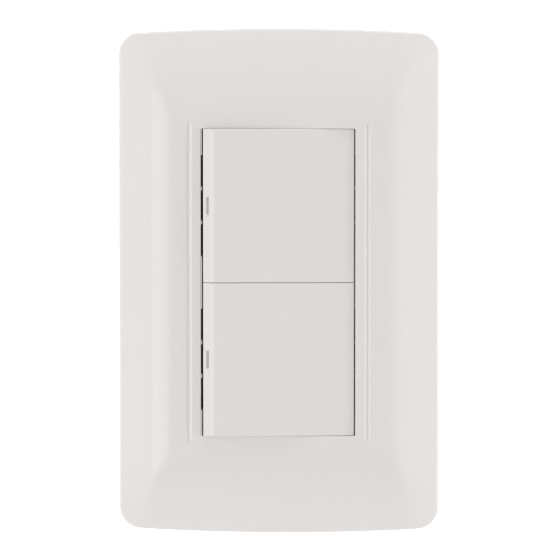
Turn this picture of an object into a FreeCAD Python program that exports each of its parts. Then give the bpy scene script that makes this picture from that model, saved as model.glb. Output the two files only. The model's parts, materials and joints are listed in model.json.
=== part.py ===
import FreeCAD, Part
import Sketcher
import os
import re

# A two-gang rocker switch for a wall box.  X is to the right, Z is up and Y runs into the wall.
# The wall's surface is the plane Y = 0 and the plate's middle is the origin, so fronts have
# negative Y.  All lengths are millimetres and all angles degrees.

DIMENSIONS = [
    # Overlap of joined features, and how far a cutting tool stands out
    ("weld", 0.1), ("cut_over", 3.0),
    # Cover plate
    ("plate_wide", 76.0), ("plate_tall", 120.0), ("plate_bow", 1.23), ("plate_corner", 5.2),
    ("plate_proud", 9.0), ("plate_wall", 2.0), ("plate_edge_round", 0.8),
    ("crown_flat_wide", 48.0), ("crown_flat_tall", 78.0), ("crown_drop", 4.8), ("crown_bend", 0.6),
    ("crown_power", 2.5),
    ("opening_wide", 36.6), ("opening_tall", 73.2), ("crown_step", 2.0),
    ("groove_out", 21.2), ("groove_radius", 0.8), ("groove_deep", 0.3), ("groove_tall", 74.5),
    ("hook_in", 31.0), ("hook_thick", 1.2), ("hook_root", 6.3), ("hook_end", 0.4),
    ("hook_up", 34.0), ("hook_wide", 8.0), ("barb_reach", 0.6), ("barb_front", 1.9),
    ("barb_nose", 1.4), ("barb_back", 0.6), ("pry_wide", 8.0), ("pry_deep", 1.5), ("pry_in", 2.4),
    # Grid frame
    ("grid_wide", 60.4), ("grid_tall", 108.0), ("grid_front", 3.2), ("grid_corner", 4.0),
    ("grid_bay_wide", 38.6), ("rim_in", 18.1), ("rim_out", 20.2),
    ("rim_front", 6.9), ("ledge_in", 18.02), ("ledge_out", 18.25), ("ledge_front", 8.95),
    ("ledge_up", 36.5), ("rim_end_in", 36.6), ("rim_end_out", 37.5), ("notch_out", 19.2),
    ("notch_reach", 12.0),
    ("tooth_up", 4.0), ("tooth_thick", 0.9), ("crossbar_tall", 12.4), ("crossbar_front", 4.2),
    ("lip_out", 30.8), ("lip_back", 2.0), ("lip_wide", 10.0), ("lip_root", 0.5),
    ("grid_head_hole", 3.9), ("grid_screw_hole", 1.9),
    # Yoke
    ("yoke_wide", 48.0), ("yoke_tall", 106.0), ("yoke_thick", 1.2), ("yoke_corner", 3.0),
    ("window_wide", 34.4), ("window_tall", 24.0), ("slot_wide", 7.0), ("slot_tall", 4.5),
    ("slot_round", 2.2), ("box_screw_up", 41.75), ("frame_screw_up", 49.0), ("thread_hole", 1.75),
    # Screws
    ("box_head_radius", 3.5), ("box_head_tall", 2.6), ("box_shank_radius", 1.95),
    ("box_neck_end", 0.6), ("box_shank_end", 25.0), ("frame_head_radius", 3.0),
    ("frame_head_tall", 1.6), ("frame_shank_radius", 1.7), ("frame_neck_end", -2.2),
    ("neck_slimmer", 0.3), ("head_round", 0.7), ("tip_bevel", 0.5),
    ("recess_wide", 1.0), ("recess_long", 4.0), ("recess_deep", 1.3),
    # Switch module, shared heights
    ("module_up", 18.22), ("rocker_pivot", 6.54), ("rocker_tilt", 4.0), ("actuator_pivot", 1.5),
    ("actuator_tilt", 9.4), ("contact_pivot", 11.3), ("contact_tilt", 8.0),
    # Paddle, drawn about its pivot
    ("paddle_wide", 35.7), ("paddle_tall", 36.36), ("paddle_front", 3.2), ("paddle_thick", 1.6),
    ("skirt_end", 0.14), ("skirt_thick", 1.2), ("bevel_wide", 2.25), ("bevel_drop", 1.2),
    ("bevel_round", 3.0), ("paddle_round", 0.3), ("rib_in", 10.1), ("rib_out", 11.3),
    ("rib_wide", 8.0), ("rib_end", 2.3), ("rib_low", 0.8), ("pin_hole", 1.05),
    ("neck_wide", 1.4), ("neck_tall", 4.8), ("bead_radius", 1.0), ("bead_at", 5.64),
    ("bar_edge", 1.0), ("bar_wide", 0.55), ("bar_tall", 4.2), ("bar_deep", 1.7),
    ("bar_sink", 0.04), ("bar_play", 0.02),
    # Housing cover
    ("flange_wide", 38.0), ("flange_tall", 23.6), ("flange_front", 3.0), ("flange_corner", 1.0),
    ("plug_wide", 29.0),
    ("plug_tall", 19.8), ("plug_end", 0.6), ("tab_wide", 5.6), ("tab_tall", 22.4),
    ("tab_front", 0.1), ("port_wide", 8.4), ("port_tall", 6.8), ("well_wide", 9.2),
    ("well_tall", 9.2), ("post_in", 8.6), ("post_out", 9.9), ("post_wide", 3.6),
    ("post_front", 7.7), ("pin_radius", 1.0), ("pin_end", 11.5), ("cheek_in", 4.6),
    ("cheek_out", 6.6), ("cheek_wide", 6.4), ("cheek_end", 2.6), ("cradle_radius", 1.55),
    # Housing base
    ("base_wide", 32.0), ("base_tall", 22.8), ("base_end", 23.0), ("base_corner", 0.8),
    ("cavity_wide", 29.2), ("cavity_tall", 20.0), ("cavity_end", 20.6), ("wall_in", 7.4),
    ("wall_out", 8.4), ("wall_front", 13.2), ("strip_notch_tall", 5.4), ("strip_notch_end", 16.0),
    ("bearing_front", 3.05), ("bearing_wide", 6.0), ("snap_wide", 6.0), ("snap_front", 0.2),
    ("snap_end", 0.7), ("wire_out", 12.0), ("wire_up", 6.5), ("wire_radius", 1.5),
    ("stem_slot_in", 9.15), ("stem_slot_out", 10.45), ("stem_slot_tall", 3.5),
    ("gauge_wide", 1.2), ("gauge_tall", 12.0), ("gauge_deep", 0.4),
    # Actuator, plunger and plunger spring, drawn about the actuator's pivot
    ("hub_radius", 2.4), ("hub_tall", 8.8), ("trunnion_radius", 1.5), ("trunnion_tall", 13.0),
    ("fork_wide", 4.8), ("fork_front", 3.4), ("fork_tall", 5.6), ("fork_gap", 2.1),
    ("fork_floor", 1.25), ("barrel_radius", 2.3), ("barrel_end", 5.6), ("bore_radius", 1.55),
    ("bore_floor", 0.6), ("plunger_radius", 1.45), ("plunger_front", 2.8), ("plunger_end", 9.37),
    ("foot_radius", 4.0), ("cup_radius", 1.05), ("cup_floor", 5.6), ("coil_radius", 0.8),
    ("wire_thick", 0.3), ("coil_front", 0.8), ("coil_tall", 4.6), ("coil_pitch", 0.8),
    # Contact arm and moving contact, drawn about the contact pivot
    ("arm_wide", 24.0), ("arm_tall", 4.0), ("arm_thick", 0.8), ("arm_pin_radius", 0.75),
    ("arm_pin_in", 1.9), ("arm_pin_out", 3.6), ("contact_out", 11.0), ("contact_radius", 1.4),
    ("contact_tip", 1.25), ("contact_dome", 3.0), ("arm_corner", 0.8),
    # Fixed contact and terminals
    ("fixed_out", 11.1), ("fixed_radius", 1.6), ("fixed_face", 14.15), ("rivet_radius", 0.8),
    ("rivet_end", 16.1), ("rivet_play", 0.03), ("clamp_in", 13.7), ("clamp_out", 14.5),
    ("clamp_tall", 18.4), ("clamp_front", 9.5), ("clamp_end", 20.5), ("strip_front", 15.0),
    ("strip_end", 15.8), ("strip_tall", 4.4), ("load_tab_in", 9.0), ("seat_wide", 4.8),
    ("ear_in", 2.3), ("ear_out", 3.1), ("ear_wide", 3.4), ("ear_front", 10.4),
    ("ear_notch", 0.8),
    # Lock springs and release buttons
    ("leaf_in", 8.4), ("leaf_out", 8.8), ("leaf_front", 13.4), ("leaf_tall", 17.4),
    ("leaf_bend_back", 18.1), ("leaf_bend_front", 17.45), ("leaf_tip_back", 15.25),
    ("leaf_tip_front", 14.95), ("leaf_tip_out", 13.45), ("leaf_tip_in", 13.25),
    ("tongue_gap", 8.6), ("leaf_notch_tall", 5.4), ("leaf_notch_end", 16.2),
    ("button_in", 9.3), ("button_out", 10.3), ("button_front", 19.2), ("button_back", 20.5),
    ("button_tall", 17.0), ("stem_tall", 3.2), ("stem_end", 23.6),
]

doc = FreeCAD.newDocument("RockerSwitch")
sheet = doc.addObject("Spreadsheet::Sheet", "Dims")
for row, (alias, value) in enumerate(DIMENSIONS, start=1):
    sheet.set("A%d" % row, alias)
    sheet.set("B%d" % row, str(value))
    sheet.setAlias("B%d" % row, alias)
doc.recompute()

ALIAS = re.compile(r"\b(" + "|".join(alias for alias, value in DIMENSIONS) + r")\b")
ACROSS = {"XY_Plane": 1, "XZ_Plane": -1, "YZ_Plane": 1}
pieces = []
TOLERANCE = 0.001


def bound(text):
    """The expression text with each alias written as a cell of the sheet."""
    return ALIAS.sub(r"Dims.\1", str(text))


def number(text):
    """The present value of an expression."""
    return float(sheet.evalExpression(bound(text)))


def bind(thing, **sizes):
    """Ties properties of a document object to expressions."""
    for path, text in sizes.items():
        thing.setExpression(path.replace("__", "."), bound(text))


def place(thing, x="0", y="0", z="0", turn=None):
    """Ties an object's placement to expressions; turn is an angle about Z."""
    if turn is not None:
        start = FreeCAD.Rotation(FreeCAD.Vector(0, 0, 1), number(turn))
        thing.Placement = FreeCAD.Placement(FreeCAD.Vector(), start)
        bind(thing, Placement__Rotation__Angle=turn)
    bind(thing, Placement__Base__x=x, Placement__Base__y=y, Placement__Base__z=z)


def keep(thing, name):
    """Marks a document object as one finished piece of the switch."""
    thing.Label = name
    pieces.append((name, thing))


def rect(low_u, high_u, low_v, high_v):
    """A rectangular loop between two pairs of levels."""
    return [(low_u, low_v), (high_u, low_v), (high_u, high_v), (low_u, high_v)]


def middle(wide, tall, v="0"):
    """A rectangular loop of a given size, centred across and at level v."""
    return rect(f"-{wide}/2", f"{wide}/2", f"{v} - {tall}/2", f"{v} + {tall}/2")


def sided(side, near, far, low_v, high_v):
    """A rectangular loop on one side: side is -1 or 1 and near is closer to the middle."""
    return rect(f"{side}*{near}", f"{side}*{far}", low_v, high_v)


def draw_circle(sketch, u, v, radius):
    centre = FreeCAD.Vector(number(u), number(v), 0)
    ring = sketch.addGeometry(Part.Circle(centre, FreeCAD.Vector(0, 0, 1), number(radius)))
    for kind, text in (("DistanceX", u), ("DistanceY", v)):
        index = sketch.addConstraint(Sketcher.Constraint(kind, -1, 1, ring, 3, number(text)))
        sketch.setExpression(f"Constraints[{index}]", bound(text))
    index = sketch.addConstraint(Sketcher.Constraint("Radius", ring, number(radius)))
    sketch.setExpression(f"Constraints[{index}]", bound(radius))


def draw_polygon(sketch, points):
    corners = [FreeCAD.Vector(number(u), number(v), 0) for u, v in points]
    lines = []
    for start, end in zip(corners, corners[1:] + corners[:1]):
        lines.append(sketch.addGeometry(Part.LineSegment(start, end)))
    for line, following in zip(lines, lines[1:] + lines[:1]):
        sketch.addConstraint(Sketcher.Constraint("Coincident", line, 2, following, 1))
    for line, point in zip(lines, points):
        for kind, text in zip(("DistanceX", "DistanceY"), point):
            index = sketch.addConstraint(Sketcher.Constraint(kind, -1, 1, line, 1, number(text)))
            sketch.setExpression(f"Constraints[{index}]", bound(text))


class Piece:
    """A PartDesign body built feature by feature from sketches tied to the sheet."""

    def __init__(self, name):
        self.name = name
        self.count = 0
        self.body = doc.addObject("PartDesign::Body", name)

    def label(self, kind):
        self.count += 1
        return f"{self.name}_{kind}{self.count}"

    def volume(self):
        return self.body.Shape.Volume if self.body.Tip else 0.0

    def sketch(self, plane, level, loops):
        """A sketch on an origin plane, moved to a level along that plane's axis."""
        sketch = self.body.newObject("Sketcher::SketchObject", self.label("sketch"))
        origin = [part for part in self.body.Origin.OriginFeatures if part.Role == plane]
        sketch.AttachmentSupport = (origin[0], "")
        sketch.MapMode = "FlatFace"
        bind(sketch, AttachmentOffset__Base__z=f"{ACROSS[plane]}*({level})")
        for loop in loops:
            if isinstance(loop, tuple):
                draw_circle(sketch, *loop)
            else:
                draw_polygon(sketch, loop)
        return sketch

    def feature(self, kind, sketch, length, grows):
        before = self.volume()
        feature = self.body.newObject("PartDesign::" + kind, self.label(kind.lower()))
        feature.Profile = sketch
        bind(feature, Length=length)
        doc.recompute()
        if (self.volume() > before) != grows:
            raise ValueError(f"{feature.Name} changed nothing")
        return self

    def add(self, plane, start, end, *loops):
        """Material between two levels along the plane's axis."""
        level = end if plane == "XZ_Plane" else start
        sketch = self.sketch(plane, level, loops)
        return self.feature("Pad", sketch, f"({end}) - ({start})", True)

    def cut(self, plane, start, end, *loops):
        """A hole between two levels along the plane's axis."""
        level = start if plane == "XZ_Plane" else end
        sketch = self.sketch(plane, level, loops)
        return self.feature("Pocket", sketch, f"({end}) - ({start})", False)

    def turned(self, points):
        """A solid of revolution about the Y axis from (radius, y) points."""
        sketch = self.sketch("XY_Plane", "0", [points])
        feature = self.body.newObject("PartDesign::Revolution", self.label("turn"))
        feature.Profile = sketch
        feature.ReferenceAxis = (sketch, ["V_Axis"])
        feature.Angle = 360
        doc.recompute()
        return self

    def coiled(self, radius, thick, start, tall, pitch):
        """A coil of round wire about the Y axis."""
        sketch = self.sketch("XY_Plane", "0", [(radius, start, f"{thick}/2")])
        feature = self.body.newObject("PartDesign::AdditiveHelix", self.label("coil"))
        feature.Profile = sketch
        feature.ReferenceAxis = (sketch, ["V_Axis"])
        feature.Mode = "pitch-height-angle"
        bind(feature, Height=tall, Pitch=pitch)
        doc.recompute()
        return self

    def dress(self, kind, size, wanted):
        """Fillet or Chamfer on every edge for which wanted(edge) holds."""
        tip = self.body.Tip
        names = [f"Edge{i}" for i, edge in enumerate(tip.Shape.Edges, start=1) if wanted(edge)]
        if not names:
            raise ValueError(f"no edges to dress on {self.name}")
        feature = self.body.newObject("PartDesign::" + kind, self.label(kind.lower()))
        feature.Base = (tip, names)
        bind(feature, **{"Radius" if kind == "Fillet" else "Size": size})
        doc.recompute()
        return self

    def done(self, **where):
        place(self.body, **where)
        keep(self.body, self.name)
        return self.body


def ends(edge):
    return [vertex.Point for vertex in edge.Vertexes]


def near(value, text):
    return abs(value - number(text)) < TOLERANCE


def along(axis):
    """Picks straight edges parallel to an axis."""
    def wanted(edge):
        if len(edge.Vertexes) != 2 or edge.Curve.TypeId != "Part::GeomLine":
            return False
        first, last = ends(edge)
        return abs((last - first).normalize().dot(axis)) > 1 - TOLERANCE
    return wanted


ALONG_Y = along(FreeCAD.Vector(0, 1, 0))
ALONG_Z = along(FreeCAD.Vector(0, 0, 1))


def primitive(kind, name, **sizes):
    """A Part primitive whose named sizes and placement come from the sheet."""
    shape = doc.addObject("Part::" + kind, name)
    bind(shape, **sizes)
    return shape


def y_cylinder(name, radius, start, end, x="0", z="0"):
    shape = primitive("Cylinder", name, Radius=radius, Height=f"({end}) - ({start})")
    shape.Placement = FreeCAD.Placement(
        FreeCAD.Vector(), FreeCAD.Rotation(FreeCAD.Vector(1, 0, 0), -90))
    bind(shape, Placement__Base__x=x, Placement__Base__y=start, Placement__Base__z=z)
    return shape


def block(name, wide, start, end, tall, z="0"):
    shape = primitive("Box", name, Length=wide, Width=f"({end}) - ({start})", Height=tall)
    place(shape, f"-({wide})/2", start, f"({z}) - ({tall})/2")
    return shape


def combine(kind, name, shapes):
    result = doc.addObject("Part::Multi" + kind, name)
    result.Shapes = shapes
    doc.recompute()
    return result


def subtract(name, base, tool):
    result = doc.addObject("Part::Cut", name)
    result.Base = base
    result.Tool = tool
    doc.recompute()
    return result


def rounded(name, base, size, wanted):
    """Fillets the edges of a Part shape for which wanted(edge) holds."""
    radius = number(size)
    result = doc.addObject("Part::Fillet", name)
    result.Base = base
    edges = enumerate(base.Shape.Edges, start=1)
    result.Edges = [(i, radius, radius) for i, edge in edges if wanted(edge)]
    doc.recompute()
    return result


# Cover plate

def crown_height(x, z):
    """Y of the plate's pillowed front: a curve into straight slopes sideways, and a parabola endways."""
    half_wide = number("plate_wide") / 2
    half_tall = number("plate_tall") / 2
    flat_x = number("crown_flat_wide") / 2
    flat_z = number("crown_flat_tall") / 2
    bend = number("crown_bend")
    power = number("crown_power")
    reach = half_tall - number("plate_bow") * (x / half_wide) ** 2
    across = max(abs(x) - flat_x, 0) / (half_wide - flat_x)
    up = max(abs(z) * half_tall / reach - flat_z, 0) / (half_tall - flat_z)
    curved = min(across, bend)
    sideways = curved ** 3 / bend ** 2 - curved ** 4 / (2 * bend ** 3) + across - curved
    sideways /= 1 - bend / 2
    fall = (sideways ** power + up ** (2 * power)) ** (1 / power)
    return -number("plate_proud") + number("crown_drop") * fall


def crown_solid(name, shift):
    """A block whose front is the pillowed surface, moved back by shift."""
    step = number("crown_step")
    columns = int(number("plate_wide") / 2 / step) + 2
    rows = int(number("plate_tall") / 2 / step) + 2
    grid = []
    for column in range(-columns, columns + 1):
        x = column * step
        heights = [(row * step, crown_height(x, row * step)) for row in range(-rows, rows + 1)]
        grid.append([FreeCAD.Vector(x, y, z) for z, y in heights])
    surface = Part.BSplineSurface()
    surface.interpolate(grid)
    depth = FreeCAD.Vector(0, number("plate_proud + 2*cut_over"), 0)
    feature = doc.addObject("Part::Feature", name)
    feature.Shape = surface.toShape().extrude(depth)
    place(feature, y=shift)
    return feature


def outline_solid(name, inset, back):
    """The plate's outline: straight sides, bowed ends and round corners."""
    bow_radius = f"(plate_wide^2/4 + plate_bow^2)/(2*plate_bow) - {inset}"
    slab = block(name + "_slab", f"plate_wide - 2*{inset}", "-plate_proud - cut_over", back,
                 f"plate_tall - 2*{inset}")
    discs = []
    for word, side in (("top", 1), ("bottom", -1)):
        centre = f"{side}*(plate_tall/2 - {inset} - ({bow_radius}))"
        discs.append(y_cylinder(f"{name}_{word}", bow_radius, "-plate_proud - cut_over", back, z=centre))
    shape = combine("Common", name + "_bowed", [slab] + discs)
    return rounded(name, shape, f"plate_corner - {inset}", ALONG_Y)


def plate_hooks():
    hooks = Piece("plate_hooks")
    for side in (-1, 1):
        for rise in (-1, 1):
            low = f"{rise}*hook_up - hook_wide/2"
            high = f"{rise}*hook_up + hook_wide/2"
            leg = sided(side, "hook_in", "(hook_in + hook_thick)", "-hook_root", "-hook_end")
            barb = [(f"{side}*hook_in", "-barb_front"),
                    (f"{side}*(hook_in - barb_reach)", "-barb_front"),
                    (f"{side}*(hook_in - barb_reach)", "-barb_nose"),
                    (f"{side}*hook_in", "-barb_back")]
            hooks.add("XY_Plane", low, high, leg)
            hooks.add("XY_Plane", low, high, barb)
    return hooks.body


def cover_plate():
    front = crown_solid("plate_crown", "0")
    outer = combine("Common", "plate_outer", [front, outline_solid("plate_outline", "0", "0")])
    inner_outline = outline_solid("plate_inner_outline", "plate_wall", "cut_over")
    back = crown_solid("plate_inner_crown", "plate_wall")
    hollow = combine("Common", "plate_hollow", [back, inner_outline])
    cuts = [hollow,
            block("plate_opening", "opening_wide", "-plate_proud - cut_over", "cut_over",
                  "opening_tall"),
            block("plate_pry_notch", "pry_wide", "-pry_deep", "cut_over", "2*pry_in",
                  "-plate_tall/2")]
    for word, side in (("left", -1), ("right", 1)):
        axis_y = "-plate_proud - groove_radius + groove_deep"
        bar = primitive("Cylinder", f"plate_groove_{word}", Radius="groove_radius",
                        Height="groove_tall")
        place(bar, f"{side}*groove_out", axis_y, "-groove_tall/2")
        cuts.append(bar)
        for end in (-1, 1):
            ball = primitive("Sphere", f"plate_groove_end_{word}", Radius="groove_radius")
            place(ball, f"{side}*groove_out", axis_y, f"{end}*groove_tall/2")
            cuts.append(ball)
    tool = combine("Fuse", "plate_cuts", cuts)
    shell = subtract("plate_shell", outer, tool)
    plate = combine("Fuse", "plate_with_hooks", [shell, plate_hooks()])

    side = number("plate_wide/2 - plate_wall/2")
    end = number("plate_tall/2 - plate_bow - plate_wall/2")
    back = number("-pry_deep - weld")

    def front_rim(edge):
        box = edge.BoundBox
        outside = box.XMin > side or box.XMax < -side or box.ZMin > end or box.ZMax < -end
        return outside and box.YMax < back

    keep(rounded("plate_rounded", plate, "plate_edge_round", front_rim), "cover_plate")


# Frame, yoke and screws

def grid_frame():
    grid = Piece("grid_frame")
    grid.add("XZ_Plane", "-grid_front", "-yoke_thick", middle("grid_wide", "grid_tall"))
    grid.dress("Fillet", "grid_corner", ALONG_Y)
    grid.add("XZ_Plane", "-rim_front", "-grid_front", middle("2*rim_out", "2*rim_end_out"))
    grid.cut("XZ_Plane", "-rim_front", "-grid_front",
             middle("2*rim_in", "2*rim_end_in"))
    grid.cut("XZ_Plane", "-grid_front", "-yoke_thick", middle("grid_bay_wide", "2*rim_end_in"))
    grid.add("XZ_Plane", "-crossbar_front", "-yoke_thick", middle("grid_bay_wide", "crossbar_tall"))
    grid.add("XZ_Plane", "-ledge_front", "-rim_front",
             sided(-1, "ledge_in", "ledge_out", "-ledge_up", "ledge_up"))
    notches = []
    for side in (-1, 1):
        for rise in (-1, 1):
            centre = f"{rise}*module_up"
            inner = "tooth_up - tooth_thick/2"
            outer = "tooth_up + tooth_thick/2"
            notches.append(sided(side, "ledge_in", "notch_out",
                                 f"{centre} - ({inner})", f"{centre} + {inner}"))
            for end in (-1, 1):
                notches.append(sided(side, "ledge_in", "notch_out",
                                     f"{centre} + {end}*({outer})",
                                     f"{centre} + {end}*notch_reach"))
    grid.cut("XZ_Plane", "-ledge_front", "-grid_front", *notches)
    for side in (-1, 1):
        for rise in (-1, 1):
            lip = sided(side, "(grid_wide/2 - lip_root)", "lip_out",
                        f"{rise}*hook_up - lip_wide/2", f"{rise}*hook_up + lip_wide/2")
            grid.add("XZ_Plane", "-grid_front", "-lip_back", lip)
    holes = [("0", f"{rise}*box_screw_up", "grid_head_hole") for rise in (-1, 1)]
    holes += [("0", f"{rise}*frame_screw_up", "grid_screw_hole") for rise in (-1, 1)]
    grid.cut("XZ_Plane", "-grid_front", "-yoke_thick", *holes)
    grid.done()


def yoke():
    strap = Piece("yoke")
    strap.add("XZ_Plane", "-yoke_thick", "0", middle("yoke_wide", "yoke_tall"))
    strap.dress("Fillet", "yoke_corner", ALONG_Y)
    slots = [middle("slot_wide", "slot_tall", f"{rise}*box_screw_up") for rise in (-1, 1)]
    strap.cut("XZ_Plane", "-yoke_thick", "0", *slots)

    def slot_corner(edge):
        point = edge.BoundBox.Center
        return ALONG_Y(edge) and near(abs(point.x), "slot_wide/2")

    strap.dress("Fillet", "slot_round", slot_corner)
    windows = [middle("window_wide", "window_tall", f"{rise}*module_up") for rise in (-1, 1)]
    holes = [("0", f"{rise}*frame_screw_up", "thread_hole") for rise in (-1, 1)]
    strap.cut("XZ_Plane", "-yoke_thick", "0", *windows)
    strap.cut("XZ_Plane", "-yoke_thick", "0", *holes)
    strap.done()


def pan_screw(name, family, seat, shank_end, height):
    """A pan-head screw pointing into the wall, with a plain neck and a cross recess."""
    head = f"{family}_head_radius"
    shank = f"{family}_shank_radius"
    neck_end = f"{family}_neck_end"
    top = f"{seat} - {family}_head_tall"
    screw = Piece(name)
    screw.turned([("0", top), (f"{head} - head_round", top), (head, f"{top} + head_round"),
                  (head, seat), (f"{shank} - neck_slimmer", seat),
                  (f"{shank} - neck_slimmer", neck_end), (shank, neck_end),
                  (shank, f"{shank_end} - tip_bevel"), (f"{shank} - tip_bevel", shank_end),
                  ("0", shank_end)])
    screw.cut("XZ_Plane", top, f"{top} + recess_deep", middle("recess_wide", "recess_long"))
    screw.cut("XZ_Plane", top, f"{top} + recess_deep", middle("recess_long", "recess_wide"))
    screw.done(z=height)


# Switch module: every piece is drawn about the module's middle, or about its own pivot

def paddle(prefix, centre):
    left = "-paddle_wide/2"
    right = "paddle_wide/2"
    cap = Piece(prefix + "paddle")
    cap.add("XY_Plane", "-paddle_tall/2", "paddle_tall/2", [
        (left, "skirt_end"), (left, "bevel_drop - paddle_front"),
        (f"{left} + bevel_wide", "-paddle_front"), (right, "-paddle_front"),
        (right, "skirt_end")])
    bevel_low = number("bevel_drop - paddle_front") + TOLERANCE
    cap.dress("Fillet", "bevel_round", lambda edge: (
        ALONG_Z(edge) and near(edge.BoundBox.XMin, f"{left} + bevel_wide")))
    cap.dress("Fillet", "paddle_round", lambda edge: (
        edge.BoundBox.YMax < bevel_low
        and not (ALONG_Z(edge) and abs(edge.BoundBox.XMin) < number(right) - TOLERANCE)))
    cap.cut("XZ_Plane", "-paddle_front + paddle_thick", "skirt_end",
            middle("(paddle_wide - 2*skirt_thick)", "(paddle_tall - 2*skirt_thick)"))
    under = "-paddle_front + paddle_thick"
    for low, high in (("-rib_out", "-rib_in"), ("rib_in", "rib_out")):
        cap.add("XY_Plane", low, high,
                rect("-rib_wide/2", "rib_wide/2", f"{under} - weld", "rib_end"))
        cap.add("XY_Plane", low, high,
                rect(f"{left} + skirt_thick/2", f"{right} - skirt_thick/2", f"{under} - weld", f"{under} + rib_low"))
    cap.cut("XY_Plane", "-rib_out", "rib_out", ("0", "0", "pin_hole"))
    cap.add("XY_Plane", "-neck_tall/2", "neck_tall/2",
            rect("-neck_wide/2", "neck_wide/2", f"{under} - weld", "bead_at"))
    cap.add("XY_Plane", "-neck_tall/2", "neck_tall/2", ("0", "bead_at", "bead_radius"))
    bar_x = f"{left} + bar_edge"
    cap.cut("XZ_Plane", "-paddle_front - cut_over", "-bar_deep", rect(
        f"{bar_x} - bar_wide/2", f"{bar_x} + bar_wide/2", "-bar_tall/2", "bar_tall/2"))
    cap.done(y="-rocker_pivot", z=centre, turn="rocker_tilt")


def indicator_bar(prefix, centre):
    left = "-paddle_wide/2"
    near_x = "bar_edge - bar_wide/2 + bar_play"
    far_x = "bar_edge + bar_wide/2 - bar_play"

    def surface(across):
        return f"-paddle_front + bevel_drop - ({across})*bevel_drop/bevel_wide + bar_sink"

    bar = Piece(prefix + "indicator_bar")
    bar.add("XY_Plane", "-bar_tall/2 + bar_play", "bar_tall/2 - bar_play", [
        (f"{left} + {near_x}", "-bar_deep"), (f"{left} + {near_x}", surface(near_x)),
        (f"{left} + {far_x}", surface(far_x)), (f"{left} + {far_x}", "-bar_deep")])
    bar.done(y="-rocker_pivot", z=centre, turn="rocker_tilt")


def housing_cover(prefix, centre):
    cover = Piece(prefix + "housing_cover")
    cover.add("XZ_Plane", "-flange_front", "-yoke_thick", middle("flange_wide", "flange_tall"))
    cover.dress("Fillet", "flange_corner", ALONG_Y)
    cover.add("XZ_Plane", "-yoke_thick", "plug_end", middle("plug_wide", "plug_tall"))
    cover.add("XZ_Plane", "-tab_front", "plug_end", middle("tab_wide", "tab_tall"))
    cover.cut("XZ_Plane", "-yoke_thick", "plug_end", middle("well_wide", "well_tall"))
    cover.cut("XZ_Plane", "-flange_front", "-yoke_thick", middle("port_wide", "port_tall"))
    for side in (-1, 1):
        cheek = middle("cheek_wide", "(cheek_out - cheek_in)", f"{side}*(cheek_in + cheek_out)/2")
        cover.add("XZ_Plane", "-yoke_thick", "cheek_end", cheek)
        post = middle("post_wide", "(post_out - post_in)", f"{side}*(post_in + post_out)/2")
        cover.add("XZ_Plane", "-post_front", "-flange_front", post)
    cover.cut("XY_Plane", "-cheek_out - weld", "cheek_out + weld",
              ("0", "actuator_pivot", "cradle_radius"))
    cover.cut("XY_Plane", "-cheek_out - weld", "cheek_out + weld",
              rect("-cradle_radius", "cradle_radius", "actuator_pivot", "cheek_end + weld"))
    pin = ("0", "-rocker_pivot", "pin_radius")
    cover.add("XY_Plane", "post_out", "pin_end", pin)
    cover.add("XY_Plane", "-pin_end", "-post_out", pin)
    cover.done(z=centre)


def housing_base(prefix, centre):
    base = Piece(prefix + "housing_base")
    base.add("XZ_Plane", "-yoke_thick", "base_end", middle("base_wide", "base_tall"))
    base.dress("Fillet", "base_corner", lambda edge: (
        ALONG_Y(edge) or edge.BoundBox.YMin > number("base_end") - TOLERANCE))
    base.cut("XZ_Plane", "-yoke_thick", "cavity_end", middle("cavity_wide", "cavity_tall"))
    for side in (-1, 1):
        base.add("XZ_Plane", "wall_front", "cavity_end",
                 sided(side, "wall_in", "wall_out", "-cavity_tall/2", "cavity_tall/2"))
        base.add("XZ_Plane", "bearing_front", "cavity_end",
                 middle("bearing_wide", "(cheek_out - cheek_in)",
                        f"{side}*(cheek_in + cheek_out)/2"))
    base.cut("XZ_Plane", "wall_front", "strip_notch_end",
             sided(1, "wall_in", "wall_out", "-strip_notch_tall/2", "strip_notch_tall/2"))
    base.cut("XZ_Plane", "-snap_front", "snap_end", middle("snap_wide", "(base_tall + cut_over)"))
    openings = []
    for side in (-1, 1):
        openings.append(sided(side, "stem_slot_in", "stem_slot_out",
                              "-stem_slot_tall/2", "stem_slot_tall/2"))
        for rise in (-1, 1):
            openings.append((f"{side}*wire_out", f"{rise}*wire_up", "wire_radius"))
    base.cut("XZ_Plane", "cavity_end", "base_end", *openings)
    base.cut("XZ_Plane", "base_end - gauge_deep", "base_end", middle("gauge_wide", "gauge_tall"))
    base.done(z=centre)


def actuator(prefix, centre):
    fork = Piece(prefix + "actuator")
    fork.add("XY_Plane", "-trunnion_tall/2", "trunnion_tall/2", ("0", "0", "trunnion_radius"))
    fork.add("XY_Plane", "-hub_tall/2", "hub_tall/2", ("0", "0", "hub_radius"))
    fork.add("XY_Plane", "-fork_tall/2", "fork_tall/2",
             rect("-fork_wide/2", "fork_wide/2", "-fork_front", "0"))
    fork.cut("XY_Plane", "-hub_tall/2", "hub_tall/2",
             rect("-fork_gap/2", "fork_gap/2", "-fork_front", "-fork_floor"))
    fork.add("XZ_Plane", "0", "barrel_end", ("0", "0", "barrel_radius"))
    fork.cut("XZ_Plane", "bore_floor", "barrel_end", ("0", "0", "bore_radius"))
    fork.done(y="actuator_pivot", z=centre, turn="-actuator_tilt")


def domed(name, radius, start, tip, dome, x="0"):
    """A round rod along Y whose far end is a shallow dome."""
    rod = y_cylinder(name + "_rod", radius, start, tip, x=x)
    ball = primitive("Sphere", name + "_ball", Radius=dome)
    place(ball, x=x, y=f"{tip} - {dome}")
    return combine("Common", name + "_domed", [rod, ball])


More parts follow.
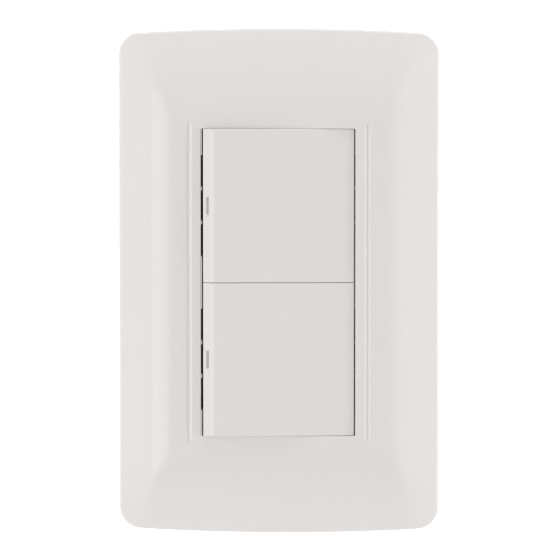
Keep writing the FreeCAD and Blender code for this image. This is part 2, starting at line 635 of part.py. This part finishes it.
def plunger(prefix, centre):
    name = prefix + "plunger"
    rod = domed(name, "plunger_radius", "plunger_front", "plunger_end", "foot_radius")
    bore = y_cylinder(name + "_bore", "cup_radius", "plunger_front", "cup_floor")
    cup = subtract(name, rod, bore)
    place(cup, y="actuator_pivot", z=centre, turn="-actuator_tilt")
    keep(cup, name)


def plunger_spring(prefix, centre):
    spring = Piece(prefix + "plunger_spring")
    spring.coiled("coil_radius", "wire_thick", "coil_front", "coil_tall", "coil_pitch")
    spring.done(y="actuator_pivot", z=centre, turn="-actuator_tilt")


def contact_arm(prefix, centre):
    arm = Piece(prefix + "contact_arm")
    arm.add("XZ_Plane", "-arm_thick/2", "arm_thick/2", middle("arm_wide", "arm_tall"))
    arm.dress("Fillet", "arm_corner", ALONG_Y)
    arm.add("XY_Plane", "arm_pin_in", "arm_pin_out", ("0", "0", "arm_pin_radius"))
    arm.add("XY_Plane", "-arm_pin_out", "-arm_pin_in", ("0", "0", "arm_pin_radius"))
    arm.done(y="contact_pivot", z=centre, turn="contact_tilt")


def moving_contact(prefix, centre):
    name = prefix + "moving_contact"
    tip = domed(name, "contact_radius", "arm_thick/2", "contact_tip", "contact_dome",
                "-contact_out")
    place(tip, y="contact_pivot", z=centre, turn="contact_tilt")
    keep(tip, name)


def fixed_contact(prefix, centre):
    rivet = Piece(prefix + "fixed_contact")
    rivet.add("XZ_Plane", "fixed_face", "strip_front", ("-fixed_out", "0", "fixed_radius"))
    rivet.add("XZ_Plane", "strip_front", "rivet_end", ("-fixed_out", "0", "rivet_radius"))
    rivet.done(z=centre)


def load_terminal(prefix, centre):
    strip = Piece(prefix + "load_terminal")
    strip.add("XZ_Plane", "clamp_front", "clamp_end",
              sided(-1, "clamp_in", "clamp_out", "-clamp_tall/2", "clamp_tall/2"))
    strip.add("XZ_Plane", "strip_front", "strip_end",
              sided(-1, "load_tab_in", "(clamp_in + weld)", "-strip_tall/2", "strip_tall/2"))
    strip.cut("XZ_Plane", "strip_front", "strip_end",
              ("-fixed_out", "0", "rivet_radius + rivet_play"))
    strip.done(z=centre)


def common_terminal(prefix, centre):
    strip = Piece(prefix + "common_terminal")
    strip.add("XZ_Plane", "clamp_front", "clamp_end",
              sided(1, "clamp_in", "clamp_out", "-clamp_tall/2", "clamp_tall/2"))
    strip.add("XZ_Plane", "strip_front", "strip_end",
              rect("0", "clamp_in + weld", "-strip_tall/2", "strip_tall/2"))
    strip.add("XZ_Plane", "strip_front", "strip_end", middle("seat_wide", "(2*ear_out)"))
    for side in (-1, 1):
        ear = middle("ear_wide", "(ear_out - ear_in)", f"{side}*(ear_in + ear_out)/2")
        strip.add("XZ_Plane", "ear_front", "strip_front + weld", ear)
    strip.cut("XY_Plane", "-ear_out", "ear_out", ("0", "contact_pivot", "ear_notch"))
    strip.cut("XY_Plane", "-ear_out", "ear_out",
              rect("-ear_notch", "ear_notch", "ear_front", "contact_pivot"))
    strip.done(z=centre)


def lock_spring(name, side, centre):
    """A leaf whose two tongues press the wires against the clamp plate."""
    leaf = Piece(name)
    leaf.add("XY_Plane", "-leaf_tall/2", "leaf_tall/2", [
        (f"{side}*leaf_in", "leaf_front"), (f"{side}*leaf_out", "leaf_front"),
        (f"{side}*leaf_out", "leaf_bend_front"), (f"{side}*leaf_tip_in", "leaf_tip_front"),
        (f"{side}*leaf_tip_out", "leaf_tip_back"), (f"{side}*leaf_in", "leaf_bend_back")])
    leaf.cut("XY_Plane", "-tongue_gap/2", "tongue_gap/2",
             sided(side, "leaf_out", "(leaf_tip_out + cut_over)", "leaf_front", "leaf_bend_back"))
    leaf.cut("XY_Plane", "-leaf_notch_tall/2", "leaf_notch_tall/2",
             sided(side, "leaf_in", "leaf_out", "leaf_front", "leaf_notch_end"))
    leaf.done(z=centre)


def release_button(name, side, centre):
    button = Piece(name)
    button.add("XZ_Plane", "button_front", "button_back",
               sided(side, "button_in", "button_out", "-button_tall/2", "button_tall/2"))
    button.add("XZ_Plane", "button_back - weld", "stem_end",
               sided(side, "button_in", "button_out", "-stem_tall/2", "stem_tall/2"))
    button.done(z=centre)


cover_plate()
grid_frame()
yoke()
for word, rise in (("upper", 1), ("lower", -1)):
    pan_screw(f"{word}_box_screw", "box", "-yoke_thick", "box_shank_end", f"{rise}*box_screw_up")
    pan_screw(f"{word}_frame_screw", "frame", "-grid_front", "0", f"{rise}*frame_screw_up")
    prefix = word + "_"
    centre = f"{rise}*module_up"
    for make in (paddle, indicator_bar, housing_cover, housing_base, actuator, plunger,
                 plunger_spring, contact_arm, moving_contact, fixed_contact, load_terminal,
                 common_terminal):
        make(prefix, centre)
    for role, side in (("load", -1), ("common", 1)):
        lock_spring(f"{prefix}{role}_lock_spring", side, centre)
        release_button(f"{prefix}{role}_release_button", side, centre)

doc.recompute()
for thing in doc.Objects:
    if "Invalid" in thing.State or "Error" in thing.State:
        raise ValueError(f"{thing.Name} is {thing.State}")
os.makedirs("parts", exist_ok=True)
for name, thing in pieces:
    shape = thing.Shape
    if shape.isNull() or not shape.isValid() or len(shape.Solids) != 1:
        raise ValueError(f"{name} is not one valid solid")
    shape.exportStep(os.path.join("parts", name + ".step"))
    print(name, round(shape.Volume, 2))
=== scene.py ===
import json
import math

import bpy
import numpy as np
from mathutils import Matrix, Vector


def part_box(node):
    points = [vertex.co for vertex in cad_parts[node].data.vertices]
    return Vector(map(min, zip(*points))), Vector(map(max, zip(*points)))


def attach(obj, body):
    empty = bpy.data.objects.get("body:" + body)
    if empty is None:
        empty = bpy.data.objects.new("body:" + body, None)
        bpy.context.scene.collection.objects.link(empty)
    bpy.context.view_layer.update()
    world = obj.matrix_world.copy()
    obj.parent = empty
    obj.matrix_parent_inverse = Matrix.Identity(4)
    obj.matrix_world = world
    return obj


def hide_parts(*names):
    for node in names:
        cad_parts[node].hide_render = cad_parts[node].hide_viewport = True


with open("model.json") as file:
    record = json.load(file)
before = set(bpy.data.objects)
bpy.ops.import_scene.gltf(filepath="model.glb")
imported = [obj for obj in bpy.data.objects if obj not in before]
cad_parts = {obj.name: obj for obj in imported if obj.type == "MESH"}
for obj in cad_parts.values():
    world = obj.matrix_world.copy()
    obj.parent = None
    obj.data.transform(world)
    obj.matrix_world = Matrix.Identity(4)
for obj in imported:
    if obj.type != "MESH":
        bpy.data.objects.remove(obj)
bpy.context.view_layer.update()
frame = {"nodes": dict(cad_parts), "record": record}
MM = 0.001
NODES = frame["nodes"]


# Materials: each is a Principled shader whose colour, roughness and relief come from noise nodes

class Look:
    """A Principled material built node by node, in the object's own coordinates (metres)."""

    def __init__(self, name, color, roughness, **sockets):
        self.material = bpy.data.materials.new(name)
        self.material.use_nodes = True
        self.tree = self.material.node_tree
        self.shader = self.tree.nodes["Principled BSDF"]
        self.roughness = roughness
        self.color = None
        self.normal = None
        self.shader.inputs["Base Color"].default_value = (*color, 1.0)
        self.shader.inputs["Roughness"].default_value = roughness
        for socket, value in sockets.items():
            self.shader.inputs[socket.replace("_", " ")].default_value = value
        self.place = self.tree.nodes.new("ShaderNodeTexCoord").outputs["Object"]

    def worn_edges(self, radius):
        """Rounds the shading of every crisp edge, as moulding and stamping leave them."""
        made = self.tree.nodes.new("ShaderNodeBevel")
        made.samples = 6
        made.inputs["Radius"].default_value = radius
        self.normal = made.outputs["Normal"]

    def noise(self, per_metre, detail=3.0, stretch=(1.0, 1.0, 1.0)):
        mapping = self.tree.nodes.new("ShaderNodeMapping")
        mapping.inputs["Scale"].default_value = stretch
        made = self.tree.nodes.new("ShaderNodeTexNoise")
        made.inputs["Scale"].default_value = per_metre
        made.inputs["Detail"].default_value = detail
        self.tree.links.new(self.place, mapping.inputs["Vector"])
        self.tree.links.new(mapping.outputs["Vector"], made.inputs["Vector"])
        return made.outputs["Fac"]

    def grains(self, per_metre):
        made = self.tree.nodes.new("ShaderNodeTexVoronoi")
        made.inputs["Scale"].default_value = per_metre
        self.tree.links.new(self.place, made.inputs["Vector"])
        split = self.tree.nodes.new("ShaderNodeSeparateColor")
        self.tree.links.new(made.outputs["Color"], split.inputs["Color"])
        return split.outputs["Red"]

    def ranged(self, value, start, end, low, high):
        made = self.tree.nodes.new("ShaderNodeMapRange")
        for socket, number in (("From Min", start), ("From Max", end),
                               ("To Min", low), ("To Max", high)):
            made.inputs[socket].default_value = number
        self.tree.links.new(value, made.inputs["Value"])
        return made.outputs["Result"]

    def tint(self, value, color, start=0.35, end=0.65, strength=1.0):
        """Blends the colour so far towards another as value runs from start to end."""
        mix = self.tree.nodes.new("ShaderNodeMixRGB")
        base = self.shader.inputs["Base Color"]
        mix.inputs["Color1"].default_value = base.default_value
        mix.inputs["Color2"].default_value = (*color, 1.0)
        if self.color is not None:
            self.tree.links.new(self.color, mix.inputs["Color1"])
        self.tree.links.new(self.ranged(value, start, end, 0.0, strength), mix.inputs["Fac"])
        self.color = mix.outputs["Color"]
        self.tree.links.new(self.color, base)

    def uneven(self, value, spread):
        """Roughness wanders by plus or minus spread about its own value."""
        low = max(self.roughness - spread, 0.02)
        high = self.roughness + spread
        self.tree.links.new(self.ranged(value, 0.3, 0.7, low, high),
                            self.shader.inputs["Roughness"])

    def relief(self, value, depth, strength=1.0):
        made = self.tree.nodes.new("ShaderNodeBump")
        made.inputs["Strength"].default_value = strength
        made.inputs["Distance"].default_value = depth
        self.tree.links.new(value, made.inputs["Height"])
        if self.normal is not None:
            self.tree.links.new(self.normal, made.inputs["Normal"])
        self.normal = made.outputs["Normal"]
        self.tree.links.new(self.normal, self.shader.inputs["Normal"])


def moulded(name, color, shade, roughness, ripple=0.0012, **sockets):
    """Moulded gloss plastic: a faint second shade, uneven gloss and two sizes of soft ripple."""
    look = Look(name, color, roughness, **sockets)
    look.tint(look.noise(22.0, 2.0), shade, strength=0.3)
    look.uneven(look.noise(160.0, 4.0), 0.02)
    look.relief(look.noise(420.0, 2.0), ripple * MM)
    look.relief(look.noise(1700.0, 2.0), 0.0004 * MM)
    return look.material


def grained(name, color, shade, roughness, grain=0.02):
    """Moulded plastic with a fine grain, and a second shade in broad clouds and small scuffs."""
    look = Look(name, color, roughness)
    look.worn_edges(0.18 * MM)
    look.tint(look.noise(35.0, 3.0), shade, strength=0.7)
    look.tint(look.noise(900.0, 4.0), shade, start=0.62, end=0.72, strength=0.6)
    look.uneven(look.noise(240.0, 4.0), 0.10)
    look.relief(look.noise(6500.0, 3.0), grain * MM)
    return look.material


def nylon(name, color, shade):
    """Natural nylon, slightly translucent, with a soft mottle."""
    look = Look(name, color, 0.42, Subsurface_Weight=0.25, Subsurface_Scale=1.5 * MM)
    look.tint(look.noise(140.0, 3.0), shade, strength=0.8)
    look.uneven(look.noise(500.0, 3.0), 0.08)
    look.relief(look.noise(2600.0, 2.0), 0.006 * MM)
    return look.material


def zinc_plate(name):
    """Zinc-plated pressed steel: small crystals, rolling lines and a faint passivation bloom."""
    look = Look(name, (0.62, 0.64, 0.66), 0.34, Metallic=1.0)
    look.worn_edges(0.12 * MM)
    look.tint(look.grains(900.0), (0.50, 0.52, 0.55), start=0.0, end=1.0, strength=0.55)
    look.tint(look.noise(60.0, 3.0), (0.66, 0.64, 0.56), start=0.45, end=0.75, strength=0.45)
    look.uneven(look.noise(300.0, 5.0), 0.10)
    look.relief(look.noise(700.0, 4.0, stretch=(8.0, 8.0, 0.3)), 0.006 * MM)
    look.relief(look.grains(900.0), 0.003 * MM)
    return look.material


def worked_metal(name, color, shade, roughness, stretch):
    """Stamped or drawn metal: fine lines along the working direction and darker tarnish."""
    look = Look(name, color, roughness, Metallic=1.0)
    look.tint(look.noise(180.0, 4.0), shade, start=0.4, end=0.75, strength=0.8)
    look.uneven(look.noise(700.0, 4.0), 0.08)
    look.relief(look.noise(2200.0, 3.0, stretch=stretch), 0.004 * MM)
    return look.material


SLOTS = {
    "plate_white": moulded("plate_white", (0.742, 0.708, 0.690), (0.752, 0.722, 0.706), 0.20),
    "paddle_white": moulded("paddle_white", (0.735, 0.700, 0.680), (0.745, 0.712, 0.692), 0.22),
    "frame_white": grained("frame_white", (0.70, 0.67, 0.64), (0.64, 0.61, 0.58), 0.45, 0.008),
    "indicator_grey": moulded("indicator_grey", (0.49, 0.47, 0.46), (0.45, 0.43, 0.42), 0.30,
                              Transmission_Weight=0.15),
    "housing_black": grained("housing_black", (0.018, 0.018, 0.020), (0.045, 0.045, 0.048), 0.46),
    "nylon": nylon("nylon", (0.72, 0.70, 0.62), (0.66, 0.63, 0.52)),
    "release_grey": grained("release_grey", (0.26, 0.27, 0.28), (0.34, 0.35, 0.36), 0.5, 0.01),
    "zinc_steel": zinc_plate("zinc_steel"),
    "spring_steel": worked_metal("spring_steel", (0.52, 0.52, 0.53), (0.38, 0.37, 0.36), 0.26,
                                 (1.0, 6.0, 6.0)),
    "brass": worked_metal("brass", (0.76, 0.57, 0.27), (0.58, 0.40, 0.18), 0.30, (1.0, 6.0, 6.0)),
    "silver": worked_metal("silver", (0.86, 0.85, 0.82), (0.62, 0.60, 0.56), 0.24,
                           (3.0, 1.0, 3.0)),
}
SLOT_OF = {part["node"]: part["material_slot"] for part in frame["record"]["subparts"]}


def dress(thing, slot):
    thing.data.materials.clear()
    thing.data.materials.append(SLOTS[slot])


def piece(name, points, faces, slot, body, sharp=35.0):
    """A new mesh piece in the frame's coordinates that rides on a body."""
    mesh = bpy.data.meshes.new(name)
    mesh.from_pydata([tuple(point) for point in points], [], faces)
    mesh.validate()
    mesh.update()
    mesh.shade_smooth()
    mesh.set_sharp_from_angle(angle=math.radians(sharp))
    thing = bpy.data.objects.new(name, mesh)
    bpy.context.scene.collection.objects.link(thing)
    dress(thing, slot)
    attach(thing, body)
    return thing


# Cover plate: rings of points run round the opening, from its edge out to the plate's outline

PLATE_LOW, PLATE_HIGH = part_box("cover_plate")
HALF_WIDE, HALF_TALL = PLATE_HIGH.x, PLATE_HIGH.z
FRONT = PLATE_LOW.y
BOW = 1.23 * MM
CORNER = 5.2 * MM
WALL = 2.0 * MM
FLAT_WIDE, FLAT_TALL = 24.0 * MM, 39.0 * MM
DROP, BEND, POWER = 4.8 * MM, 0.6, 2.5
OPENING_WIDE, OPENING_TALL = 18.3 * MM, 36.43 * MM
OPENING_CORNER, OPENING_ROUND = 0.3 * MM, 0.12 * MM
EDGE_ROUND, RIM_ROUND = 0.8 * MM, 0.25 * MM
GROOVE_OUT, GROOVE_HALF, GROOVE_DEEP = 21.2 * MM, 0.55 * MM, 0.26 * MM
GROOVE_TALL = 37.25 * MM
PRY_HALF, PRY_DEEP, PRY_IN = 4.0 * MM, 1.5 * MM, 2.4 * MM


def crown(x, z):
    """Y of the pillowed front: a curve into straight slopes sideways, and a parabola endways."""
    reach = HALF_TALL - BOW * (x / HALF_WIDE) ** 2
    across = np.maximum(np.abs(x) - FLAT_WIDE, 0) / (HALF_WIDE - FLAT_WIDE)
    up = np.maximum(np.abs(z) * HALF_TALL / reach - FLAT_TALL, 0) / (HALF_TALL - FLAT_TALL)
    curved = np.minimum(across, BEND)
    sideways = curved ** 3 / BEND ** 2 - curved ** 4 / (2 * BEND ** 3) + across - curved
    sideways = sideways / (1 - BEND / 2)
    return FRONT + DROP * (sideways ** POWER + up ** (2 * POWER)) ** (1 / POWER)


def groove(x, z):
    """Depth of the two fine grooves, rounded across and at their ends."""
    beyond = np.maximum(np.abs(z) - GROOVE_TALL, 0)
    away = np.hypot(np.abs(x) - GROOVE_OUT, beyond) / GROOVE_HALF
    return GROOVE_DEEP * np.maximum(1 - away ** 2, 0) ** 0.8


def quarter_loops():
    """Matching points and outward normals round a quarter of the opening and of the outline.

    The opening's points are spaced like the outline's, and closer where the grooves end.
    """
    slope = 2 * BOW * (HALF_WIDE - CORNER) / HALF_WIDE ** 2
    lean = math.atan(slope)
    touch = HALF_WIDE - CORNER + CORNER * math.sin(lean)
    arc_z = HALF_TALL - BOW * (touch / HALF_WIDE) ** 2 - CORNER * math.cos(lean)
    inner, inner_out, outer, outer_out = [], [], [], []
    closer = 0.86
    side = np.concatenate([np.linspace(0, closer, 44, endpoint=False),
                           np.linspace(closer, 1, 40)])
    for part in side:
        inner.append((OPENING_WIDE, part * (OPENING_TALL - OPENING_CORNER)))
        outer.append((HALF_WIDE, part * arc_z))
        inner_out.append((1, 0))
        outer_out.append((1, 0))
    for part in np.linspace(0, 1, 26)[1:-1]:
        turn = part * math.pi / 2
        inner_out.append((math.cos(turn), math.sin(turn)))
        inner.append((OPENING_WIDE - OPENING_CORNER * (1 - math.cos(turn)),
                      OPENING_TALL - OPENING_CORNER * (1 - math.sin(turn))))
        turn = part * (math.pi / 2 - lean)
        outer_out.append((math.cos(turn), math.sin(turn)))
        outer.append((HALF_WIDE - CORNER * (1 - math.cos(turn)), arc_z + CORNER * math.sin(turn)))
    notch = PRY_HALF / touch
    top = np.concatenate([np.linspace(1, notch + 0.01, 50), [notch, notch - 0.002],
                          np.linspace(notch - 0.02, 0, 6)])
    for part in top:
        x = part * touch
        lean_here = math.atan(2 * BOW * x / HALF_WIDE ** 2)
        inner.append((part * (OPENING_WIDE - OPENING_CORNER), OPENING_TALL))
        inner_out.append((0, 1))
        outer.append((x, HALF_TALL - BOW * (x / HALF_WIDE) ** 2))
        outer_out.append((math.sin(lean_here), math.cos(lean_here)))
    return [np.array(points, float) for points in (inner, inner_out, outer, outer_out)]


def all_round(quarter):
    """The whole loop from its first quarter, which runs from +X to +Z."""
    back = quarter[:0:-1]
    ahead = quarter[:-1]
    return np.concatenate([ahead, back * (-1, 1), ahead * (-1, -1), back * (1, -1)])


def cover_plate():
    """The moulded shell: opening wall, crowned front, rounded rim and hollow back, in one skin."""
    opening, opening_out, outline, outline_out = [all_round(part) for part in quarter_loops()]
    count = len(opening)

    def inset(distance):
        return outline - outline_out * np.reshape(distance, (-1, 1))

    def at(loop):
        return loop[:, 0], loop[:, 1]

    tiny = 0.01 * MM
    groove_rings, flank_rings, hollow_rings = 26, 64, 30
    slope = (crown(*at(outline)) - crown(*at(inset(tiny)))) / tiny
    length = np.hypot(slope, 1)
    edge_start = EDGE_ROUND * (1 - slope / length)
    front_edge = inset(edge_start)
    edge_y = crown(*at(front_edge))
    centre_y = edge_y + EDGE_ROUND / length
    steepest = np.arctan2(1, slope)
    start = opening + opening_out * OPENING_ROUND
    groove_near = (GROOVE_OUT - GROOVE_HALF - OPENING_WIDE) / (HALF_WIDE - OPENING_WIDE)
    groove_far = (GROOVE_OUT + GROOVE_HALF - OPENING_WIDE) / (HALF_WIDE - OPENING_WIDE)
    steps = np.concatenate([np.linspace(0, groove_near - 0.004, 7),
                            np.linspace(groove_near - 0.002, groove_far + 0.002, groove_rings),
                            np.linspace(groove_far + 0.004, 1, flank_rings)])
    inner_edge = inset(WALL)
    inner_front = crown(*at(inner_edge)) + WALL
    flat = np.zeros(count)
    rings = [(opening, flat + FRONT + WALL), (opening, flat + FRONT + WALL / 2)]
    for turn in np.linspace(0, math.pi / 2, 7):
        rings.append((opening + opening_out * OPENING_ROUND * (1 - math.cos(turn)),
                      flat + FRONT + OPENING_ROUND * (1 - math.sin(turn))))
    for step in steps[1:]:
        loop = start + (front_edge - start) * step
        rings.append((loop, crown(*at(loop)) + groove(*at(loop))))
    for part in np.linspace(1, 0, 10)[1:]:
        turn = steepest * part
        rings.append((inset(EDGE_ROUND * (1 - np.cos(turn))), centre_y - EDGE_ROUND * np.sin(turn)))
    for turn in np.linspace(0, math.pi / 2, 5):
        rings.append((inset(flat + RIM_ROUND * (1 - math.cos(turn))),
                      flat - RIM_ROUND * (1 - math.sin(turn))))
    for turn in np.linspace(math.pi / 2, 0, 5):
        rings.append((inset(flat + WALL - RIM_ROUND * (1 - math.cos(turn))),
                      flat - RIM_ROUND * (1 - math.sin(turn))))
    rings.append((inner_edge, inner_front))
    for step in np.linspace(1, 0, hollow_rings)[1:-1]:
        loop = opening + (inner_edge - opening) * step
        rings.append((loop, crown(*at(loop)) + WALL))

    points = []
    for loop, heights in rings:
        for (x, z), y in zip(loop, heights):
            in_notch = z < -HALF_TALL + PRY_IN and abs(x) < PRY_HALF - tiny
            points.append((x, min(y, -PRY_DEEP) if in_notch else y, z))
    faces = []
    for ring in range(len(rings)):
        following = (ring + 1) % len(rings)
        for step in range(count):
            after = (step + 1) % count
            faces.append((ring * count + step, following * count + step,
                          following * count + after, ring * count + after))
    plate = piece("cover_plate_skin", points, faces, "plate_white", "base", sharp=50.0)
    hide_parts("cover_plate")


HOOK_IN, HOOK_THICK, HOOK_HALF, HOOK_UP = 31.0 * MM, 1.2 * MM, 4.0 * MM, 34.0 * MM
HOOK_FRONT, HOOK_BACK, HOOK_BACK_OUT = -6.3 * MM, -0.4 * MM, -0.5 * MM
BARB_REACH, BARB_FRONT, BARB_NOSE, BARB_BACK = 0.6 * MM, -1.9 * MM, -1.4 * MM, -0.6 * MM
HOOK_LEAD, HOOK_SOFT = 0.1 * MM, 0.12 * MM


def plate_hooks():
    """The four snap hooks behind the plate, each an L in section with softened edges."""
    outer = HOOK_IN + HOOK_THICK
    profile = [(HOOK_IN, HOOK_FRONT), (HOOK_IN, BARB_FRONT), (HOOK_IN - BARB_REACH, BARB_FRONT),
               (HOOK_IN - BARB_REACH, BARB_NOSE), (HOOK_IN, BARB_BACK),
               (HOOK_IN + HOOK_LEAD, HOOK_BACK), (outer - HOOK_LEAD, HOOK_BACK),
               (outer, HOOK_BACK_OUT), (outer, HOOK_FRONT)]
    count = len(profile)
    for across, side in (("left", -1), ("right", 1)):
        for level, rise in (("low", -1), ("high", 1)):
            middle = rise * HOOK_UP
            points = [(side * x, y, z) for z in (middle - HOOK_HALF, middle + HOOK_HALF)
                      for x, y in profile]
            faces = [tuple(range(count)), tuple(range(2 * count - 1, count - 1, -1))]
            faces += [(i, (i + 1) % count, count + (i + 1) % count, count + i)
                      for i in range(count)]
            hook = piece(f"plate_hook_{across}_{level}", points, faces, "plate_white", "base",
                         sharp=30.0)
            soften(hook, HOOK_SOFT)


BOX_SCREW_UP = 41.75 * MM
CREST, THREAD_DEEP, PITCH = 1.95 * MM, 0.38 * MM, 0.7 * MM
THREAD_TIP, TIP_RADIUS, TIP_TAPER = 25.0 * MM, 1.2 * MM, 0.4 * MM
NECK_RADIUS, NECK_END = 1.65 * MM, 0.6 * MM
HEAD_RADIUS, HEAD_SEAT, HEAD_TOP = 3.5 * MM, -1.2 * MM, -3.8 * MM
HEAD_ROUND, HEAD_CHAMFER = 0.9 * MM, 0.1 * MM
CROSS_HALF, CROSS_ARM, CROSS_LIP, CROSS_DEEP = 0.5 * MM, 2.0 * MM, 0.05 * MM, 1.1 * MM


def cross_radii(angles):
    """Radius of the recess's cross outline at each angle about the screw's axis."""
    along_x, along_z = np.abs(np.cos(angles)) + 1e-9, np.abs(np.sin(angles)) + 1e-9
    return np.maximum(np.minimum(CROSS_ARM / along_x, CROSS_HALF / along_z),
                      np.minimum(CROSS_ARM / along_z, CROSS_HALF / along_x))


def screw_rings():
    """The box screw as rings about its own axis, from the thread's tip to the cross recess."""
    corners = [math.atan2(CROSS_HALF, CROSS_ARM), math.pi / 4, math.atan2(CROSS_ARM, CROSS_HALF)]
    quarter = sorted(set(corners) | {math.pi / 2 * i / 8 for i in range(8)})
    angles = np.array([turn + side * math.pi / 2 for side in range(4) for turn in quarter])
    cross = cross_radii(angles)
    ones = np.ones(len(angles))
    rings = [(ones * TIP_RADIUS, THREAD_TIP)]
    for y in np.arange(THREAD_TIP - TIP_TAPER, NECK_END, -PITCH / 8):
        phase = (y / PITCH - angles / (2 * math.pi)) % 1.0
        height = np.clip(2.4 * np.abs(phase - 0.5) - 0.1, 0, 1)
        rings.append((CREST - THREAD_DEEP * (1 - height), y))
    rings += [(ones * NECK_RADIUS, NECK_END), (ones * NECK_RADIUS, HEAD_SEAT),
              (ones * (HEAD_RADIUS - HEAD_CHAMFER), HEAD_SEAT),
              (ones * HEAD_RADIUS, HEAD_SEAT - HEAD_CHAMFER)]
    for turn in np.linspace(0, math.pi / 2, 7):
        rings.append((ones * (HEAD_RADIUS - HEAD_ROUND * (1 - math.cos(turn))),
                      HEAD_TOP + HEAD_ROUND * (1 - math.sin(turn))))
    land = 2.35 * MM
    rings += [(np.maximum(ones * land, cross), HEAD_TOP), (cross + CROSS_LIP, HEAD_TOP),
              (cross, HEAD_TOP + 0.06 * MM), (cross * 0.86, HEAD_TOP + CROSS_DEEP),
              (cross * 0.4, HEAD_TOP + CROSS_DEEP + 0.2 * MM)]
    return angles, rings


def box_screws():
    """The two M4 screws that hold the yoke to the box, with their real threads."""
    angles, rings = screw_rings()
    count = len(angles)
    for word, rise in (("upper", 1), ("lower", -1)):
        points = [(radius * math.cos(turn), y, rise * BOX_SCREW_UP + radius * math.sin(turn))
                  for radii, y in rings for turn, radius in zip(angles, radii)]
        faces = [(ring * count + i, ring * count + (i + 1) % count,
                  (ring + 1) * count + (i + 1) % count, (ring + 1) * count + i)
                 for ring in range(len(rings) - 1)
                 for i in range(count)]
        faces.append(tuple(range(count - 1, -1, -1)))
        faces.append(tuple((len(rings) - 1) * count + i for i in range(count)))
        name = f"{word}_box_screw_threaded"
        screw = piece(name, points, faces, "zinc_steel", "base")
        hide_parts(f"{word}_box_screw")


def soften(thing, width):
    bevel = thing.modifiers.new("soft_edges", "BEVEL")
    bevel.width = width
    bevel.segments = 3
    bevel.limit_method = "ANGLE"
    bevel.angle_limit = math.radians(35)
    bevel.harden_normals = True


for name, node in NODES.items():
    dress(node, SLOT_OF[name])
cover_plate()
plate_hooks()
box_screws()


# Stage, light and camera

def stage_material(name, color, glow=0.0):
    material = bpy.data.materials.new(name)
    material.use_nodes = True
    shader = material.node_tree.nodes["Principled BSDF"]
    shader.inputs["Base Color"].default_value = (*color, 1.0)
    shader.inputs["Roughness"].default_value = 0.9
    shader.inputs["Emission Color"].default_value = (1.0, 1.0, 1.0, 1.0)
    shader.inputs["Emission Strength"].default_value = glow
    return material


def flat_sheet(name, corners, material):
    mesh = bpy.data.meshes.new(name)
    mesh.from_pydata(corners, [], [(0, 1, 2, 3)])
    sheet = bpy.data.objects.new(name, mesh)
    bpy.context.scene.collection.objects.link(sheet)
    mesh.materials.append(material)


def studio():
    floor_z, reach = -0.55, 6.0
    flat_sheet("floor", [(-reach, -reach, floor_z), (reach, -reach, floor_z),
                         (reach, reach, floor_z), (-reach, reach, floor_z)],
               stage_material("pale_floor", (0.86, 0.86, 0.86)))
    half, top, back_y = 1.2, 1.0, 2.6
    flat_sheet("backdrop", [(-half, back_y, floor_z), (half, back_y, floor_z),
                            (half, back_y, top), (-half, back_y, top)],
               stage_material("pale_backdrop", (0.9, 0.9, 0.9), glow=0.8))
    world = bpy.data.worlds.new("studio")
    bpy.context.scene.world = world
    world.use_nodes = True
    background = world.node_tree.nodes["Background"]
    background.inputs["Color"].default_value = (1.0, 1.0, 1.0, 1.0)
    background.inputs["Strength"].default_value = 0.62


def softbox(name, place, wide, tall, power):
    """A rectangular area light that faces the middle of the object."""
    data = bpy.data.lights.new(name, "AREA")
    data.shape = "RECTANGLE"
    data.size, data.size_y = wide, tall
    data.energy = power
    light = bpy.data.objects.new(name, data)
    bpy.context.scene.collection.objects.link(light)
    light.location = place
    light.rotation_mode = "QUATERNION"
    light.rotation_quaternion = (-Vector(place)).to_track_quat("-Z", "Y")


def lights():
    softbox("side_left", (-0.95, -0.14, 0.0), 0.35, 0.7, 3.2)
    softbox("side_right", (0.95, -0.16, 0.0), 0.35, 0.7, 3.7)
    softbox("front_left", (-0.6, -1.1, -0.1), 0.8, 0.6, 2.4)
    softbox("front_right", (0.7, -1.1, 0.1), 0.8, 0.6, 0.7)
    softbox("overhead", (0.0, -0.12, 0.9), 0.9, 0.2, 3.2)
    softbox("rear", (0.4, 1.0, 0.7), 0.7, 0.5, 5.0)


def camera():
    """A long lens a little above and to the right of square on."""
    distance = 1.1
    aside, height = math.radians(1.8), math.radians(3.35)
    aim = (PLATE_LOW + PLATE_HIGH) / 2 + Vector((0.33 * MM, 0, 0.36 * MM))
    data = bpy.data.cameras.new("camera")
    data.sensor_width = 36.0
    data.lens = 297.6
    made = bpy.data.objects.new("camera", data)
    bpy.context.scene.collection.objects.link(made)
    back = Vector((math.sin(aside) * math.cos(height), -math.cos(aside) * math.cos(height),
                   math.sin(height)))
    made.location = aim + back * distance
    made.rotation_mode = "QUATERNION"
    made.rotation_quaternion = (-back).to_track_quat("-Z", "Y")
    data.clip_start, data.clip_end = 0.05, 20.0
    bpy.context.scene.camera = made


studio()
lights()
camera()
bpy.context.scene.view_settings.view_transform = "Standard"
